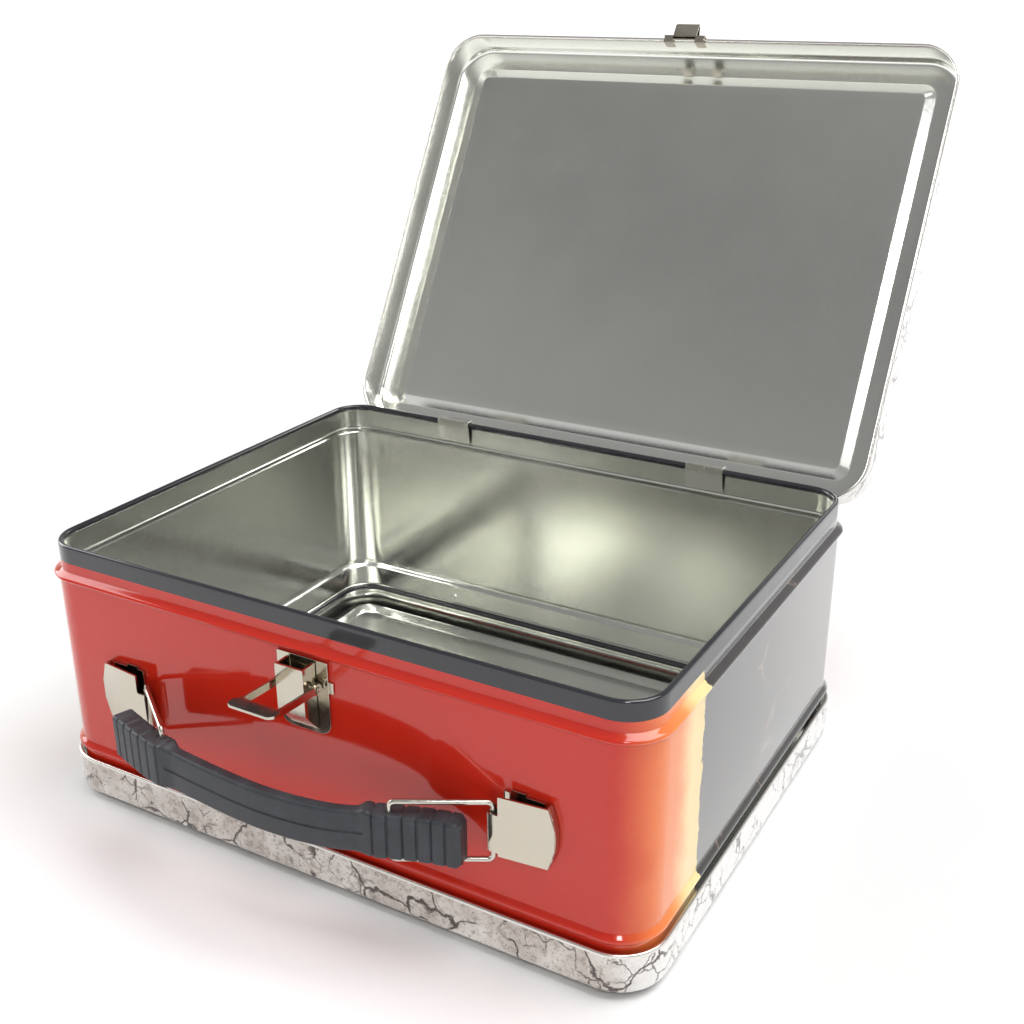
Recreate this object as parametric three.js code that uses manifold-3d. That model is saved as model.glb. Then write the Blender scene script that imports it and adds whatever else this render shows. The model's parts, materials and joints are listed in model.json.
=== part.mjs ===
// Sheet-metal lunch box: a seamed wall band closed by a stamped base pan, a like pan as its hinged lid, a
// swing-bail clasp, and a moulded grip on two wire loops.
//
// Millimetres. The origin is the centre of the underside, +X runs right along the front, +Y to the back and
// +Z up. The lid is modelled shut, and its group is turned about the hinge axis to stand open.

import * as THREE from 'three';
import { mergeVertices } from 'three/addons/utils/BufferGeometryUtils.js';
import Module from 'manifold-3d';

// ---------------------------------------------------------------- driving dimensions

const PAN_WIDTH = 222;                  // outside of the base pan and the lid, 8 3/4 in
const PAN_DEPTH = 175;
const PAN_HEIGHT = 14.1;                // from a pan's flat border to its free edge
const PAN_CORNER = 15.7;                // plan radius of a pan's corners
const PAN_EDGE = 2.6;                   // radius between a pan's border and its skirt
const PAN_SHEET = 0.5;
const PAN_HEM = 1.3;                    // thickness of the folded free edge
const PAN_HEM_HEIGHT = 1.5;
const BASE_PRESS = 1.5;                 // the base's centre panel stands out of its border
const LID_PRESS = -1.2;                 // the lid's stands in, so that shut boxes nest when stacked
const PRESS_BORDER = 9.5;               // flat border round the panel
const PRESS_SLOPE = 4.7;                // plan width of the slope to the panel
const PRESS_CORNER = 2;

const SKIRT_OFFSET = 2.2;               // pan skirt's outside, outward of the band
const BAND_SHEET = 0.5;
const BAND_BOTTOM = 6.5;
const BAND_TOP = 93.6;
const NECK_STEP = 0.9;                  // the neck above the upper bead stands in by this much
const RIM_ROLL = { height: 2.2, width: 1.9 };
const FOOT_ROLL = { height: 2.3, width: 2.5 };
const UPPER_BEAD = { centre: 82.6, halfHeight: 1.7, protrusion: 1.5 };
const LOWER_BEAD = { centre: 19.2, halfHeight: 1.9, protrusion: 1.5 };

const LID_TOP = 99.8;                   // top of the lid when it is shut
const LID_OPEN = THREE.MathUtils.degToRad(119.8);
const HINGE_AXIS = { y: 89.2, z: 84.9 };
const HINGE_CENTRE = 54.7;              // from the middle of the box to the middle of a hinge
const HINGE_WIDTH = 14.6;
const HINGE_PIN_RADIUS = 0.6;

const GAP = 0.3;                        // between pieces that touch
const SHEET = 0.5;                      // hinge, catch and clasp strip

const LATCH_X = -1.2;                   // the clasp stands just left of the middle
const CATCH_X = -0.3;
const LATCH_PIVOT = { out: 3, z: 72.3 };
const LATCH_PIN_RADIUS = 0.7;
const PEDESTAL = { halfWidth: 5, out: 6.8, top: 79.7, knee: 64.5, toe: 57.6, sheet: 0.8 };
const PLATE = { halfWidth: 9.2, top: 80.4, bottom: 56, corner: 4 };
const BAIL = { inside: 6.3, strip: 0.8, armHeight: 2.5, eye: 1.8, tabNear: 16.9, tabFar: 22.2, tabHalfWidth: 8.3 };
const BAIL_TILT = THREE.MathUtils.degToRad(3.5);

const BRACKET_PIVOT = { x: 64.2, out: 2.9 };
const BRACKET_SHEET = 0.7;
const BRACKET_NECK = { bottom: 38.9, top: 51.2, reach: 66.5 };
const BRACKET_FACE = { bottom: 37.9, top: 57.3, reach: 81.2, bulge: 2.2 };

const WIRE_RADIUS = 0.825;
const LOOP = { length: 28.5, bottom: 35.1, top: 54, corner: 1.6 };
const LOOP_SWING = { right: THREE.MathUtils.degToRad(28.9), left: THREE.MathUtils.degToRad(36.3) };

const GRIP = { bottom: 36.3, top: 50.7, left: -64.2, right: 59, midHalf: 2.1, endHalf: 3.6, edge: 0.9 };
const GRIP_ARCH = [                     // [along the front, out from it]: the grip's centre line
  [GRIP.left, 14.2], [-45, 20], [-25, 23], [0, 24.6], [20, 22.5], [35, 17.3], [48, 12.6], [GRIP.right, 10],
];
const RIBS = { count: 6, pitch: 4.2, depth: 0.6 };
const OPEN_PIVOT_CLEARANCE = 0.8;       // the grip's left hole, where the linkage is opened

// ---------------------------------------------------------------- worked-out sizes

const BAND_WIDTH = PAN_WIDTH - 2 * SKIRT_OFFSET;
const BAND_DEPTH = PAN_DEPTH - 2 * SKIRT_OFFSET;
const BAND_CORNER = PAN_CORNER - SKIRT_OFFSET;
const FRONT = -BAND_DEPTH / 2;
const BACK = BAND_DEPTH / 2;
const LID_EDGE = LID_TOP - PAN_HEIGHT;

// ---------------------------------------------------------------- solids and booleans

const CORNER_SEGMENTS = 3;
const wasm = await Module();
wasm.setup();

function solid(geometry) {
  const bare = geometry.index ? geometry.toNonIndexed() : geometry.clone();
  bare.deleteAttribute('normal');
  bare.deleteAttribute('uv');
  const merged = mergeVertices(bare, 1e-4);
  return new wasm.Manifold(new wasm.Mesh({
    numProp: 3,
    vertProperties: merged.attributes.position.array,
    triVerts: merged.index.array,
  }));
}

function join(...geometries) {
  return geometries.map(solid).reduce((whole, piece) => whole.add(piece));
}

function geometryOf(manifold) {
  const { vertProperties, triVerts } = manifold.getMesh();
  const geometry = new THREE.BufferGeometry();
  geometry.setAttribute('position', new THREE.BufferAttribute(vertProperties, 3));
  geometry.setIndex(new THREE.BufferAttribute(triVerts, 1));
  geometry.computeVertexNormals();
  return geometry;
}

// ---------------------------------------------------------------- shapes

function roundedRectangle(width, depth, radius) {
  const x = width / 2 - radius;
  const y = depth / 2 - radius;
  const shape = new THREE.Shape();
  const quarter = Math.PI / 2;
  [[x, y], [-x, y], [-x, -y], [x, -y]].forEach(([cx, cy], corner) => {
    shape.absarc(cx, cy, radius, corner * quarter, (corner + 1) * quarter);
  });
  return shape;
}

// A polygon through [a, b] points.
function polygon(points) {
  return new THREE.Shape(points.map(([a, b]) => new THREE.Vector2(a, b)));
}

// The outline of a bent sheet: a line of [a, b] points thickened equally to both sides, mitred at each bend.
function strip(points, thickness) {
  const line = points.map(([a, b]) => new THREE.Vector2(a, b));
  const normalOf = (from, to) => {
    const along = to.clone().sub(from).normalize();
    return new THREE.Vector2(-along.y, along.x);
  };
  const left = [];
  const right = [];
  line.forEach((point, i) => {
    const before = i > 0 ? normalOf(line[i - 1], point) : normalOf(point, line[1]);
    const after = i < line.length - 1 ? normalOf(point, line[i + 1]) : before;
    const middle = before.clone().add(after).normalize();
    const reach = thickness / 2 / middle.dot(before);
    left.push(point.clone().addScaledVector(middle, reach));
    right.push(point.clone().addScaledVector(middle, -reach));
  });
  return new THREE.Shape([...left, ...right.reverse()]);
}

// Points along an arc, angles in degrees.
function arc(centreA, centreB, radius, from, to, steps) {
  return Array.from({ length: steps + 1 }, (_, i) => {
    const angle = THREE.MathUtils.degToRad(from + (to - from) * i / steps);
    return [centreA + radius * Math.cos(angle), centreB + radius * Math.sin(angle)];
  });
}

// An (x, y) shape extruded up from one height to another.
function upright(shape, bottom, top, options = {}) {
  const geometry = new THREE.ExtrudeGeometry(shape, {
    depth: top - bottom, bevelEnabled: false, curveSegments: CORNER_SEGMENTS, ...options,
  });
  return geometry.translate(0, 0, bottom);
}

// A (y, z) shape extruded along X.
function acrossX(shape, from, to) {
  const geometry = upright(shape, from, to);
  const turn = new THREE.Matrix4().makeBasis(
    new THREE.Vector3(0, 1, 0), new THREE.Vector3(0, 0, 1), new THREE.Vector3(1, 0, 0));
  return geometry.applyMatrix4(turn);
}

// An (x, z) shape extruded along Y.
function acrossY(shape, from, to) {
  const geometry = upright(shape, -to, -from);
  const turn = new THREE.Matrix4().makeBasis(
    new THREE.Vector3(1, 0, 0), new THREE.Vector3(0, 0, 1), new THREE.Vector3(0, -1, 0));
  return geometry.applyMatrix4(turn);
}

function box(x0, x1, y0, y1, z0, z1) {
  return new THREE.BoxGeometry(x1 - x0, y1 - y0, z1 - z0)
    .translate((x0 + x1) / 2, (y0 + y1) / 2, (z0 + z1) / 2);
}

const ROD_SIDES = 12;

function rodAlongX(radius, from, to, y, z) {
  return new THREE.CylinderGeometry(radius, radius, to - from, ROD_SIDES)
    .rotateZ(Math.PI / 2).translate((from + to) / 2, y, z);
}

function rodAlongZ(radius, from, to, x, y) {
  return new THREE.CylinderGeometry(radius, radius, to - from, ROD_SIDES)
    .rotateX(Math.PI / 2).translate(x, y, (from + to) / 2);
}

// ---------------------------------------------------------------- pieces and materials

const materials = {
  enamel: { color: 0xc8322c, roughness: 0.22, metalness: 0.0 },
  stonePrint: { color: 0xd9d4ca, roughness: 0.4, metalness: 0.0 },
  nickel: { color: 0xd8d0bf, roughness: 0.2, metalness: 1.0 },
  steelWire: { color: 0xb9b3a6, roughness: 0.25, metalness: 1.0 },
  grip: { color: 0x4b5058, roughness: 0.6, metalness: 0.0 },
};

function piece(name, material, shape) {
  const geometry = shape.isBufferGeometry ? shape : geometryOf(shape);
  const mesh = new THREE.Mesh(geometry, new THREE.MeshStandardMaterial(materials[material]));
  mesh.name = name;
  return mesh;
}

// ---------------------------------------------------------------- wall band

// A slab with the band's own plan, moved outward by an offset.
function bandSlab(offset, bottom, top) {
  const plan = roundedRectangle(BAND_WIDTH + 2 * offset, BAND_DEPTH + 2 * offset, BAND_CORNER + offset);
  return upright(plan, bottom, top);
}

// A slab whose sides swell into a rounded bead.
function bandBead(offset, { centre, halfHeight, protrusion }) {
  const root = 0.2;
  const crest = 0.3;
  const start = offset - root;
  const plan = roundedRectangle(BAND_WIDTH + 2 * start, BAND_DEPTH + 2 * start, BAND_CORNER + start);
  return upright(plan, centre - crest, centre + crest, {
    bevelEnabled: true, bevelThickness: halfHeight - crest, bevelSize: protrusion + root, bevelSegments: 3,
  });
}

function bodyBand() {
  const past = 1;
  const rimRound = 0.7;
  const step = UPPER_BEAD.centre;
  const neck = roundedRectangle(
    BAND_WIDTH - 2 * (NECK_STEP + rimRound), BAND_DEPTH - 2 * (NECK_STEP + rimRound),
    BAND_CORNER - NECK_STEP - rimRound);
  const outside = join(
    bandSlab(0, BAND_BOTTOM, step),
    upright(neck, step - past, BAND_TOP - rimRound, {
      bevelEnabled: true, bevelThickness: rimRound, bevelSize: rimRound, bevelSegments: 2 }),
    bandBead(0, UPPER_BEAD),
    bandBead(0, LOWER_BEAD),
  );
  const thinning = 0.4;
  const groove = (bead) => ({ ...bead, halfHeight: bead.halfHeight - thinning });
  const inside = join(
    bandSlab(-BAND_SHEET, BAND_BOTTOM + FOOT_ROLL.height, step),
    bandSlab(-NECK_STEP - BAND_SHEET, step - past, BAND_TOP - RIM_ROLL.height),
    bandSlab(-NECK_STEP - RIM_ROLL.width, step, BAND_TOP + past),
    bandSlab(-FOOT_ROLL.width, BAND_BOTTOM - past, step),
    bandBead(-BAND_SHEET, groove(UPPER_BEAD)),
    bandBead(-BAND_SHEET, groove(LOWER_BEAD)),
  );
  return piece('body_band', 'enamel', outside.subtract(inside));
}

// ---------------------------------------------------------------- stamped pans

// A pan lying face down: its border at height 0 and its free edge up. Its centre panel is pressed down, out of
// the pan, where press is positive, and up into the pan where it is negative.
function pan(name, press) {
  const past = 1;
  const plan = (inset, radius = PAN_CORNER - inset) =>
    roundedRectangle(PAN_WIDTH - 2 * inset, PAN_DEPTH - 2 * inset, radius);
  const dish = (inset, edge, bottom, top) => upright(plan(inset + edge), bottom + edge, top, {
    bevelEnabled: true, bevelThickness: edge, bevelSize: edge, bevelSegments: 3 });
  const panel = plan(PRESS_BORDER + PRESS_SLOPE, PRESS_CORNER);
  const slope = {
    bevelEnabled: true, bevelThickness: Math.abs(press), bevelSize: PRESS_SLOPE, bevelSegments: 1 };
  const pressed = (border) => (press > 0
    ? solid(upright(panel, border, border + past, slope))
    : solid(upright(panel, border - past, border, slope)));
  const above = solid(box(-PAN_WIDTH, PAN_WIDTH, -PAN_DEPTH, PAN_DEPTH, PAN_HEIGHT, 2 * PAN_HEIGHT));
  const outside = solid(dish(0, PAN_EDGE, 0, PAN_HEIGHT)).subtract(above);
  const inside = join(
    dish(PAN_SHEET, PAN_EDGE - PAN_SHEET, PAN_SHEET, PAN_HEIGHT - PAN_HEM_HEIGHT - PAN_EDGE),
    upright(plan(PAN_SHEET), PAN_HEIGHT / 2, PAN_HEIGHT - PAN_HEM_HEIGHT),
    upright(plan(PAN_HEM), PAN_HEIGHT / 2, PAN_HEIGHT + past),
  );
  const shape = press > 0
    ? outside.add(pressed(0)).subtract(inside.add(pressed(PAN_SHEET)))
    : outside.subtract(pressed(0)).subtract(inside.subtract(pressed(PAN_SHEET)));
  return piece(name, 'stonePrint', shape);
}

// ---------------------------------------------------------------- hinges

const KNUCKLE = { bore: HINGE_PIN_RADIUS + GAP, outer: HINGE_PIN_RADIUS + GAP + SHEET, halfWidth: 3 };

// The clip runs from its knuckle over the bead, up behind the neck, over the rim and down inside.
function bodyClip(name, centre) {
  const neckFace = BACK - NECK_STEP;
  const rimInner = neckFace - RIM_ROLL.width;
  const shelf = LID_EDGE - GAP - 3 * SHEET / 4;
  const standoff = GAP + SHEET / 2;
  const overTop = BAND_TOP + standoff;
  const flapTop = [rimInner - standoff, BAND_TOP - RIM_ROLL.height - GAP];
  const flapEnd = [neckFace - BAND_SHEET - standoff, UPPER_BEAD.centre + UPPER_BEAD.halfHeight + GAP];
  const clip = strip([
    [HINGE_AXIS.y - KNUCKLE.outer + SHEET / 2, shelf],
    [neckFace + standoff, shelf],
    [neckFace + standoff, overTop],
    [rimInner - standoff, overTop],
    flapTop,
    flapEnd,
  ], SHEET);
  const half = HINGE_WIDTH / 2;
  const past = 1;
  const beside = (side) => {
    const inner = KNUCKLE.halfWidth;
    const outer = half + past;
    const [from, to] = side > 0 ? [centre + inner, centre + outer] : [centre - outer, centre - inner];
    return solid(box(from, to, BACK + UPPER_BEAD.protrusion, HINGE_AXIS.y + 2 * past,
      shelf - 2 * past, shelf + 2 * past));
  };
  const eye = rodAlongX(KNUCKLE.outer, centre - KNUCKLE.halfWidth, centre + KNUCKLE.halfWidth,
    HINGE_AXIS.y, HINGE_AXIS.z);
  const bore = rodAlongX(KNUCKLE.bore, centre - half, centre + half, HINGE_AXIS.y, HINGE_AXIS.z);
  const shape = solid(acrossX(clip, centre - half, centre + half))
    .subtract(beside(1)).subtract(beside(-1))
    .add(solid(eye)).subtract(solid(bore));
  return piece(name, 'nickel', shape);
}

// The leaf stands against the lid's rear skirt, and its lower end is rolled round the pin on both sides of
// the clip's knuckle.
function lidLeaf(name, centre) {
  const leafHeight = 10.5;
  const half = HINGE_WIDTH / 2;
  const roll = HINGE_PIN_RADIUS + GAP + SHEET / 2;
  const wrap = arc(HINGE_AXIS.y, HINGE_AXIS.z, roll, 180, 420, 10);
  const leaf = strip([[HINGE_AXIS.y - roll, HINGE_AXIS.z + leafHeight], ...wrap], SHEET);
  const notch = KNUCKLE.halfWidth + GAP;
  const gap = box(centre - notch, centre + notch, HINGE_AXIS.y - 3, HINGE_AXIS.y + 3,
    HINGE_AXIS.z - 3, HINGE_AXIS.z + KNUCKLE.outer + GAP);
  const shape = solid(acrossX(leaf, centre - half, centre + half)).subtract(solid(gap));
  return piece(name, 'nickel', shape);
}

function hingePin(name, centre) {
  const half = HINGE_WIDTH / 2;
  return piece(name, 'nickel',
    rodAlongX(HINGE_PIN_RADIUS, centre - half, centre + half, HINGE_AXIS.y, HINGE_AXIS.z));
}

// ---------------------------------------------------------------- clasp

// Front fittings are drawn as [distance out from the front wall, height] and placed at y = FRONT - distance.
const outward = (points) => points.map(([out, z]) => [FRONT - out, z]);

function lidCatch() {
  const humpHalf = 5;
  const humpReach = 8;
  const plateHalf = 8.8;
  const plateHeight = 10;
  const ear = { centre: 6.7, half: 1.9, height: 4.5 };
  const humpTip = { drop: 0.6, bottom: 0.5, middle: 1, top: 1.6 };   // the hump's rounded nose
  const humpTop = 3.4;
  const plateOut = SKIRT_OFFSET + GAP + SHEET / 2;
  const earOut = SKIRT_OFFSET - PAN_HEM - GAP - SHEET / 2;
  const foldZ = LID_EDGE - GAP - SHEET / 2;
  const plate = strip(outward([[plateOut, foldZ - SHEET / 2], [plateOut, foldZ + plateHeight]]), SHEET);
  const hump = strip(outward([
    [plateOut, foldZ],
    [humpReach - humpTip.drop, foldZ + humpTip.bottom],
    [humpReach, foldZ + humpTip.middle],
    [humpReach - humpTip.drop, foldZ + humpTip.top],
    [plateOut, foldZ + humpTop],
  ]), SHEET);
  const clench = strip(outward([[plateOut, foldZ], [earOut, foldZ], [earOut, foldZ + ear.height]]), SHEET);
  const earAt = (side) => acrossX(clench,
    CATCH_X + side * ear.centre - ear.half, CATCH_X + side * ear.centre + ear.half);
  return piece('lid_catch', 'nickel', join(
    acrossX(plate, CATCH_X - plateHalf, CATCH_X + plateHalf),
    acrossX(hump, CATCH_X - humpHalf, CATCH_X + humpHalf),
    earAt(1),
    earAt(-1),
  ));
}

function latchPlate() {
  const tab = { reach: 1.6, bottom: 70.4, top: 74.1 };
  const { halfWidth, top, bottom, corner } = PLATE;
  const outline = new THREE.Shape();
  outline.moveTo(LATCH_X - halfWidth, top);
  outline.lineTo(LATCH_X - halfWidth, bottom + corner);
  outline.absarc(LATCH_X - halfWidth + corner, bottom + corner, corner, Math.PI, 1.5 * Math.PI);
  outline.absarc(LATCH_X + halfWidth - corner, bottom + corner, corner, 1.5 * Math.PI, 2 * Math.PI);
  outline.lineTo(LATCH_X + halfWidth, top);
  const near = FRONT - GAP;
  const far = near - SHEET;
  return piece('latch_plate', 'nickel', join(
    acrossY(outline, far, near),
    box(LATCH_X - halfWidth - tab.reach, LATCH_X + halfWidth + tab.reach, near - SHEET / 2, near,
      tab.bottom, tab.top),
  ));
}

function latchPedestal() {
  const { halfWidth, out, top, knee, toe, sheet } = PEDESTAL;
  const back = GAP + SHEET + GAP;
  const toeDepth = 1.6 * sheet;
  const past = 1;
  const outside = polygon(outward([[back, top], [out, top], [out, knee], [back, toe]]));
  const inside = polygon(outward([
    [back - past, top + past], [out - sheet, top + past], [out - sheet, knee + sheet / 2],
    [back, toe + toeDepth], [back - past, toe + toeDepth],
  ]));
  const inner = halfWidth - sheet;
  const shape = solid(acrossX(outside, LATCH_X - halfWidth, LATCH_X + halfWidth))
    .subtract(solid(acrossX(inside, LATCH_X - inner, LATCH_X + inner)))
    .subtract(solid(pivotRod(LATCH_PIN_RADIUS + GAP, 2 * halfWidth)));
  return piece('latch_pedestal', 'nickel', shape);
}

function pivotRod(radius, halfLength) {
  return rodAlongX(radius, LATCH_X - halfLength, LATCH_X + halfLength,
    FRONT - LATCH_PIVOT.out, LATCH_PIVOT.z);
}

function latchPin() {
  const head = 0.5;
  return piece('latch_pin', 'nickel', pivotRod(LATCH_PIN_RADIUS, BAIL.inside + BAIL.strip + head));
}

// The bail in its own frame: the pivot at the origin, the arms running out along -Y.
function latchBail() {
  const { inside, strip: thickness, armHeight, eye, tabNear, tabFar, tabHalfWidth } = BAIL;
  const half = armHeight / 2;
  const tabBottom = half - thickness;
  const lap = 1.5;                      // how far an arm runs on under the tab
  const taper = 2;
  const arm = polygon([
    [-(tabNear + lap), half], [-(tabNear + lap), tabBottom], [-tabNear, -half / 2], [-(tabNear - taper), -half],
    [0, -half], [0, half],
  ]);
  const armAt = (side) => {
    const [from, to] = side > 0 ? [inside, inside + thickness] : [-inside - thickness, -inside];
    return join(acrossX(arm, from, to), rodAlongX(eye, from, to, 0, 0));
  };
  const tabCorner = 2.2;
  const tabPlan = roundedRectangle(2 * tabHalfWidth, tabFar - tabNear, tabCorner);
  const tab = upright(tabPlan, tabBottom, half).translate(0, -(tabNear + tabFar) / 2, 0);
  const bore = rodAlongX(LATCH_PIN_RADIUS + GAP, -2 * inside, 2 * inside, 0, 0);
  const shape = armAt(1).add(armAt(-1)).add(solid(tab)).subtract(solid(bore));
  const bail = piece('latch_bail', 'nickel', shape);
  bail.position.set(LATCH_X, FRONT - LATCH_PIVOT.out, LATCH_PIVOT.z);
  bail.rotation.x = -BAIL_TILT;
  return bail;
}

// ---------------------------------------------------------------- handle

// One strap, drawn for the right side: a leaf on the wall, a curl round the loop's wire, the neck, the
// standing face with its bowed outer edge, and a flange from that edge back to the wall.
function bracketRight() {
  const half = BRACKET_SHEET / 2;
  const roll = WIRE_RADIUS + GAP + half;
  const leafOut = GAP + half;
  const { x, out } = BRACKET_PIVOT;
  const { bottom, top, reach, bulge } = BRACKET_FACE;
  const fold = BRACKET_NECK.reach;
  const middle = (bottom + top) / 2;
  const foldOut = out + roll;
  const edgeOut = 2.5;                  // height of the bowed edge over the wall
  const leaf = { start: x + 2.6, end: reach - 2 };
  const crease = { length: 0.6, fall: 0.1 };
  const wallTab = { from: x + 4.6, to: x + 9.2, below: 2, above: 1 };
  const past = 1;
  const strap = strip([
    [leaf.end, -leafOut], [leaf.start, -leafOut], ...arc(x, -out, roll, 90, 270, 8),
    [fold - crease.length, -foldOut], [fold, -foldOut + crease.fall], [reach + bulge, -edgeOut],
  ].map(([px, py]) => [px, FRONT + py]), BRACKET_SHEET);
  const curlEnd = x - roll - 2 * past;
  const outline = new THREE.Shape();
  outline.moveTo(curlEnd, BRACKET_NECK.bottom);
  outline.lineTo(fold, BRACKET_NECK.bottom);
  outline.lineTo(fold, bottom);
  outline.lineTo(reach, bottom);
  outline.quadraticCurveTo(reach + 2 * bulge, middle, reach, top);
  outline.lineTo(fold, top);
  outline.lineTo(fold, BRACKET_NECK.top);
  outline.lineTo(curlEnd, BRACKET_NECK.top);
  const edge = new THREE.QuadraticBezierCurve(
    new THREE.Vector2(reach, bottom), new THREE.Vector2(reach + 2 * bulge, middle),
    new THREE.Vector2(reach, top)).getPoints(6).map((point) => [point.x - half, point.y]);
  const flange = acrossY(strip(edge, BRACKET_SHEET), FRONT - edgeOut, FRONT - GAP);
  const tab = box(wallTab.from, wallTab.to, FRONT - leafOut - half, FRONT - GAP,
    top - wallTab.below, top + wallTab.above);
  const allOfIt = 3 * foldOut;
  return solid(upright(strap, bottom - past, top + past))
    .intersect(solid(acrossY(outline, FRONT - allOfIt, FRONT)))
    .add(solid(flange)).add(solid(tab));
}

function bracket(name, side) {
  const shape = bracketRight();
  return piece(name, 'nickel', side > 0 ? shape : shape.mirror([1, 0, 0]));
}

// A path through given points, with its directions averaged at each of them.
class PointPath extends THREE.Curve {
  constructor(points) {
    super();
    this.points = points;
  }

  getPointAt(u) {
    return this.points[Math.round(u * (this.points.length - 1))].clone();
  }

  getTangentAt(u) {
    const i = Math.round(u * (this.points.length - 1));
    const before = this.points[Math.max(i - 1, 0)];
    const after = this.points[Math.min(i + 1, this.points.length - 1)];
    return after.clone().sub(before).normalize();
  }
}

// A rectangular wire loop whose two ends meet inside the bracket's curl. It lies along X from the pivot leg.
function loopGeometry(direction) {
  const { length, bottom, top, corner } = LOOP;
  const butt = (bottom + top) / 2;
  const reach = direction * length;
  const inset = direction * corner;
  const bend = (cx, cz, from, to) => arc(cx, cz, corner, from, to, 4)
    .map(([px, pz]) => [cx + direction * (px - cx), pz]);
  const outline = [
    [0, butt + GAP / 2],
    ...bend(inset, top - corner, 180, 90),
    ...bend(reach - inset, top - corner, 90, 0),
    ...bend(reach - inset, bottom + corner, 0, -90),
    ...bend(inset, bottom + corner, -90, -180),
    [0, butt - GAP / 2],
  ];
  const path = new PointPath(outline.map(([px, pz]) => new THREE.Vector3(px, 0, pz)));
  const section = new THREE.Shape().absarc(0, 0, WIRE_RADIUS, 0, 2 * Math.PI);
  return new THREE.ExtrudeGeometry(section, {
    steps: outline.length - 1, curveSegments: 4, extrudePath: path, bevelEnabled: false });
}

function handleLoop(name, side) {
  const loop = piece(name, 'steelWire', solid(loopGeometry(-side)));
  const swing = side > 0 ? LOOP_SWING.right : -LOOP_SWING.left;
  loop.position.set(side * BRACKET_PIVOT.x, FRONT - BRACKET_PIVOT.out, 0);
  loop.rotation.z = swing;
  return loop;
}

// Where a loop's outer leg passes through the grip.
function gripLeg(side) {
  const swing = side > 0 ? LOOP_SWING.right : LOOP_SWING.left;
  return {
    x: side * (BRACKET_PIVOT.x - LOOP.length * Math.cos(swing)),
    y: FRONT - BRACKET_PIVOT.out - LOOP.length * Math.sin(swing),
  };
}

// Half the grip's thickness at a place along it: slim in the middle, thick and ribbed at both ends.
function gripHalf(x) {
  const fromEnd = Math.min(x - GRIP.left, GRIP.right - x);
  const ribbed = RIBS.count * RIBS.pitch;
  const slim = { from: ribbed - 1, to: ribbed + 6 };
  const rounding = { length: 1.5, share: 0.25 };
  const sharpness = 4;
  const thick = 1 - THREE.MathUtils.smoothstep(fromEnd, slim.from, slim.to);
  const groove = fromEnd < ribbed ? Math.abs(Math.cos(Math.PI * fromEnd / RIBS.pitch)) ** sharpness : 0;
  const tip = 1 - rounding.share * (1 - THREE.MathUtils.smoothstep(fromEnd, 0, rounding.length));
  return (THREE.MathUtils.lerp(GRIP.midHalf, GRIP.endHalf, thick) - RIBS.depth * groove) * tip;
}

function handleGrip() {
  const { left, right, bottom, top, edge } = GRIP;
  const arch = new THREE.SplineCurve(GRIP_ARCH.map(([x, out]) => new THREE.Vector2(x, FRONT - out)));
  const ribbed = RIBS.count * RIBS.pitch;
  const plainSpacing = 6;
  const past = 1;
  const samples = [];
  for (let s = 0; s < ribbed; s += RIBS.pitch / 4) {
    samples.push(left + s, right - s);
  }
  for (let x = left + ribbed; x <= right - ribbed; x += plainSpacing) {
    samples.push(x);
  }
  samples.sort((a, b) => a - b);
  const front = [];
  const rear = [];
  for (const x of samples) {
    const u = (x - left) / (right - left);
    const centre = arch.getPointAt(u);
    const along = arch.getTangentAt(u);
    const half = gripHalf(x);
    front.push(new THREE.Vector2(centre.x + along.y * half, centre.y - along.x * half));
    rear.push(new THREE.Vector2(centre.x - along.y * half, centre.y + along.x * half));
  }
  const plan = new THREE.Shape([...front, ...rear.reverse()]);
  const body = upright(plan, bottom + edge, top - edge, {
    bevelEnabled: true, bevelThickness: edge, bevelSize: edge, bevelOffset: -edge, bevelSegments: 1 });
  const hole = (side, clearance) => {
    const leg = gripLeg(side);
    return solid(rodAlongZ(WIRE_RADIUS + clearance, bottom - past, top + past, leg.x, leg.y));
  };
  const shape = solid(body).subtract(hole(1, GAP)).subtract(hole(-1, OPEN_PIVOT_CLEARANCE));
  return piece('handle_grip', 'grip', shape);
}

// ---------------------------------------------------------------- assembly

function hingeSides(build) {
  return [['left', -HINGE_CENTRE], ['right', HINGE_CENTRE]].map(([side, centre]) => build(side, centre));
}

function assembleLid() {
  const lidPan = pan('lid_pan', LID_PRESS);
  lidPan.rotation.x = Math.PI;
  lidPan.position.z = LID_TOP;
  const shut = new THREE.Group();
  shut.position.set(0, -HINGE_AXIS.y, -HINGE_AXIS.z);
  shut.add(lidPan, lidCatch(), ...hingeSides((side, centre) => lidLeaf(`hinge_${side}_lid_leaf`, centre)));
  const lid = new THREE.Group();
  lid.position.set(0, HINGE_AXIS.y, HINGE_AXIS.z);
  lid.rotation.x = -LID_OPEN;
  lid.add(shut);
  return lid;
}

function assembleBox() {
  const basePan = pan('base_pan', BASE_PRESS);
  basePan.position.z = BASE_PRESS;
  const lunchBox = new THREE.Group();
  lunchBox.add(
    bodyBand(),
    basePan,
    ...hingeSides((side, centre) => bodyClip(`hinge_${side}_body_clip`, centre)),
    ...hingeSides((side, centre) => hingePin(`hinge_${side}_pin`, centre)),
    assembleLid(),
    latchPlate(),
    latchPedestal(),
    latchPin(),
    latchBail(),
    bracket('handle_bracket_left', -1),
    bracket('handle_bracket_right', 1),
    handleLoop('handle_loop_left', -1),
    handleLoop('handle_loop_right', 1),
    handleGrip(),
  );
  return lunchBox;
}

export default assembleBox();
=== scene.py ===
import json
import math

import bmesh
import bpy
import numpy as np
from mathutils import Matrix, Vector


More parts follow.
